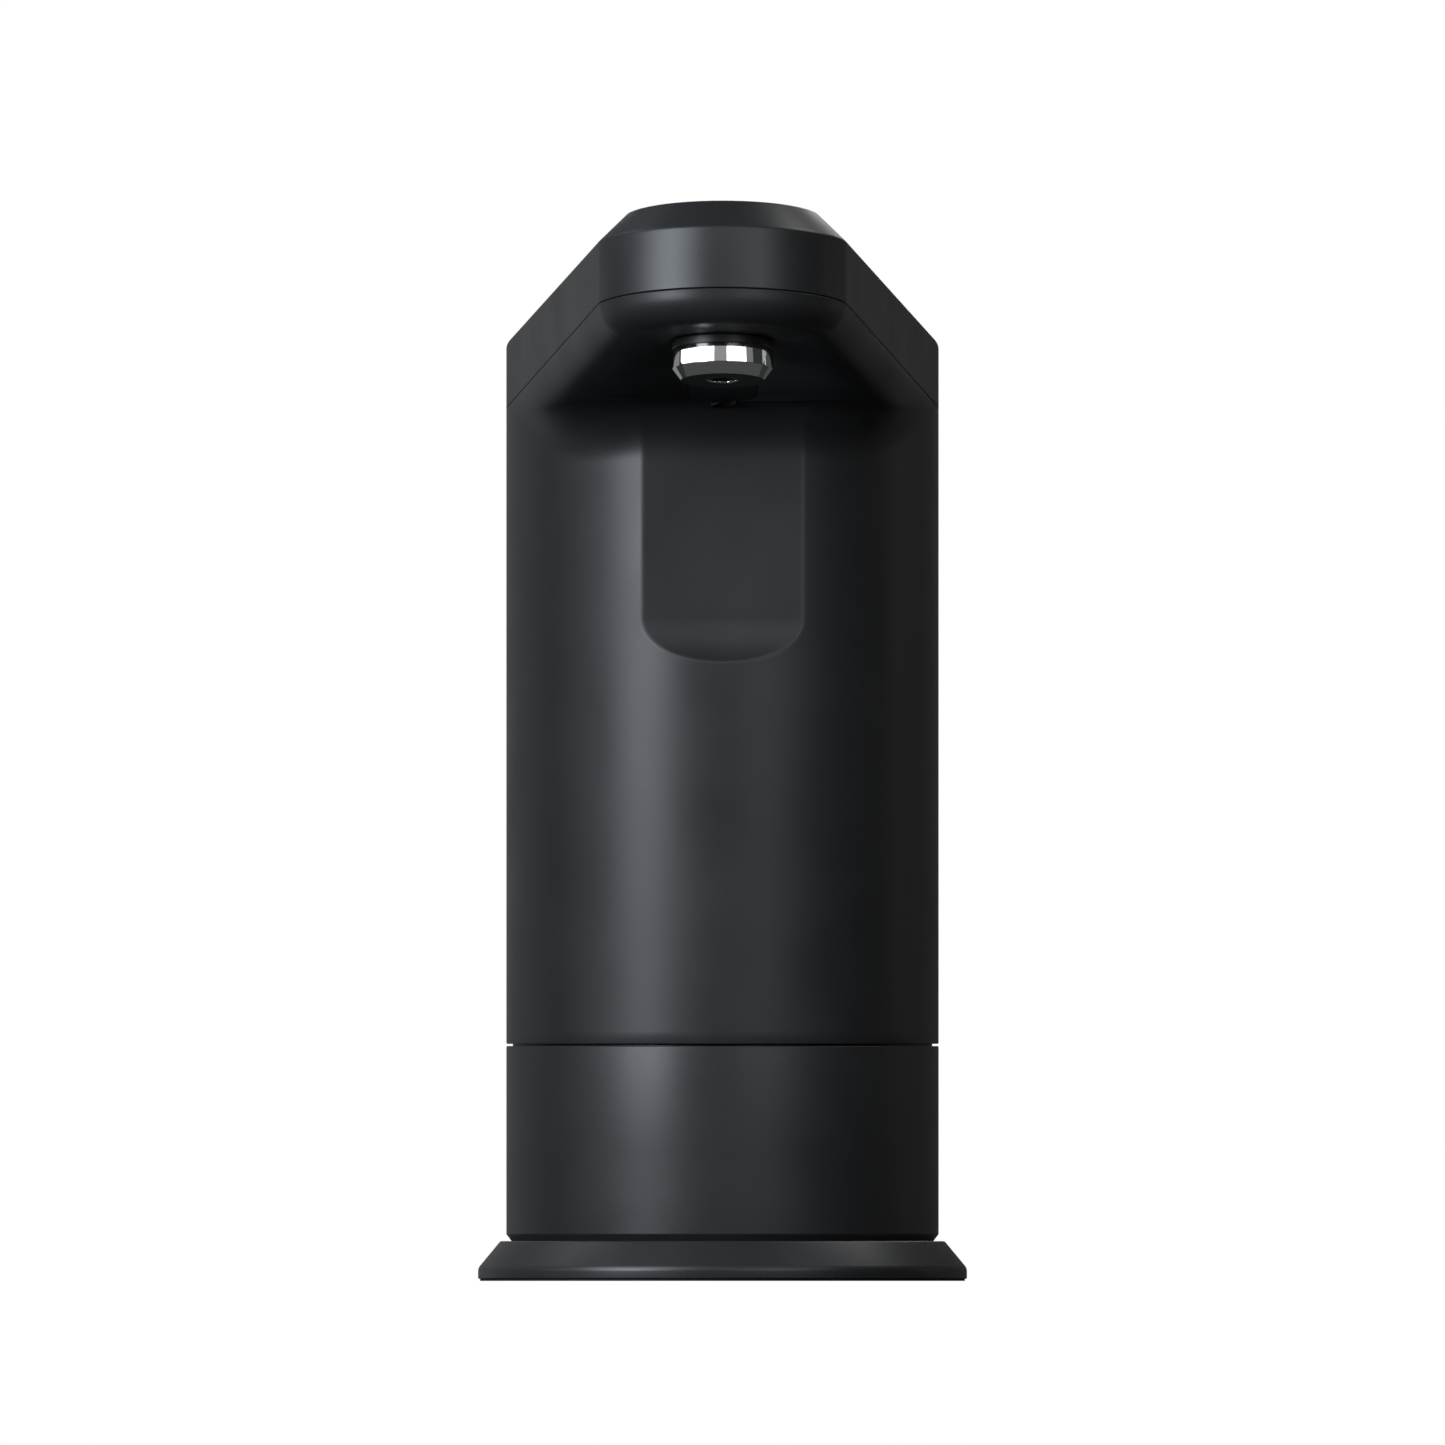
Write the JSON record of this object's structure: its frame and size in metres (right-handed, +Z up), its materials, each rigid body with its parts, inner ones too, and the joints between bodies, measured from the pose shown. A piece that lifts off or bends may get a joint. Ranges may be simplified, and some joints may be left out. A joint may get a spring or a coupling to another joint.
{
  "type": "soda carbonator",
  "caption": "Countertop soda carbonator: round column on a long base plate, rising spout head with a chrome nozzle, rear water tank, gas cylinder and pump inside.",
  "frame": {"origin": "on the column's axis, at the foot of the rubber pads on the table", "axes": "+Z up along the column, -Y towards the front where the head and its nozzle reach out, +X to the right seen from the front"},
  "size_m": [0.19, 0.3663, 0.42],
  "materials": {
    "shell": "fine grained charcoal plastic, satin",
    "dark_plastic": "fine matte black",
    "inner_plastic": "moulded grey",
    "chrome": "polished",
    "steel": "brushed",
    "brass": "machined",
    "rubber": "matte",
    "tank": "smoked clear",
    "cylinder_paint": "satin grey paint",
    "hose": "milky tube",
    "board": "lacquered board"
  },
  "bodies": {
    "machine": {"base_plate": "shell", "base_floor": "steel", "base_pads": "rubber", "base_screws": "steel", "lower_housing": "shell", "column_housing": "shell", "bay_liner": "inner_plastic", "chassis": "inner_plastic", "head_cover": "shell", "cover_screws": "steel", "service_cover": "shell", "nozzle_collar": "dark_plastic", "nozzle_ring": "chrome", "nozzle_face": "dark_plastic", "nozzle_tube": "steel", "dispense_valve": "inner_plastic", "control_pod": "inner_plastic", "button_spring": "steel", "button_switch": "dark_plastic", "tank_socket": "inner_plastic", "gas_regulator": "brass", "carbonation_vessel": "steel", "vessel_fitting": "brass", "pump_motor": "steel", "pump_head": "dark_plastic", "control_board": "board", "power_inlet": "dark_plastic", "feed_hose": "hose", "pressure_hose": "hose", "gas_hose": "rubber", "outlet_hose": "hose", "control_cable": "rubber"},
    "tank": {"water_tank": "tank", "tank_lid": "dark_plastic", "tank_spigot": "hose", "spigot_seal": "rubber"},
    "gas_cylinder": {"co2_cylinder": "cylinder_paint", "cylinder_valve": "brass"},
    "dial": {"level_dial": "chrome", "dial_clip": "steel"},
    "button": {"dispense_button": "dark_plastic"},
    "plunger": {"valve_plunger": "steel"},
    "grate": {"drip_grate": "steel"},
    "rotor": {"pump_rotor": "steel"}
  },
  "joints": [
    {"name": "tank_slide", "type": "slide", "parent": "machine", "child": "tank", "axis": [0, 1, 0], "range_m": [0, 0.12]},
    {"name": "cylinder_turn", "type": "hinge", "parent": "machine", "child": "gas_cylinder", "pos_m": [0, -0.013, 0.2], "axis": [0, 0, 1], "range_deg": [0, 1080]},
    {"name": "dial_turn", "type": "hinge", "parent": "machine", "child": "dial", "pos_m": [0, -0.20455, 0.40473], "axis": [0, 0.1736, 0.9848], "range_deg": [-135, 135]},
    {"name": "button_press", "type": "slide", "parent": "machine", "child": "button", "axis": [0, -0.1736, -0.9848], "range_m": [0, 0.0025], "stiffness_N_per_m": 1000, "springref_m": -0.001, "deforming": ["button_spring"]},
    {"name": "plunger_lift", "type": "slide", "parent": "machine", "child": "plunger", "axis": [0, 0.1736, 0.9848], "range_m": [0, 0.0015]},
    {"name": "grate_lift", "type": "slide", "parent": "machine", "child": "grate", "axis": [0, 0, 1], "range_m": [0, 0.05]},
    {"name": "rotor_spin", "type": "hinge", "parent": "machine", "child": "rotor", "pos_m": [0, 0.028, 0.041], "axis": [1, 0, 0], "continuous": true}
  ],
  "couplings": [
    {"joint": "plunger_lift", "follows": "button_press", "ratio": 0.6}
  ]
}
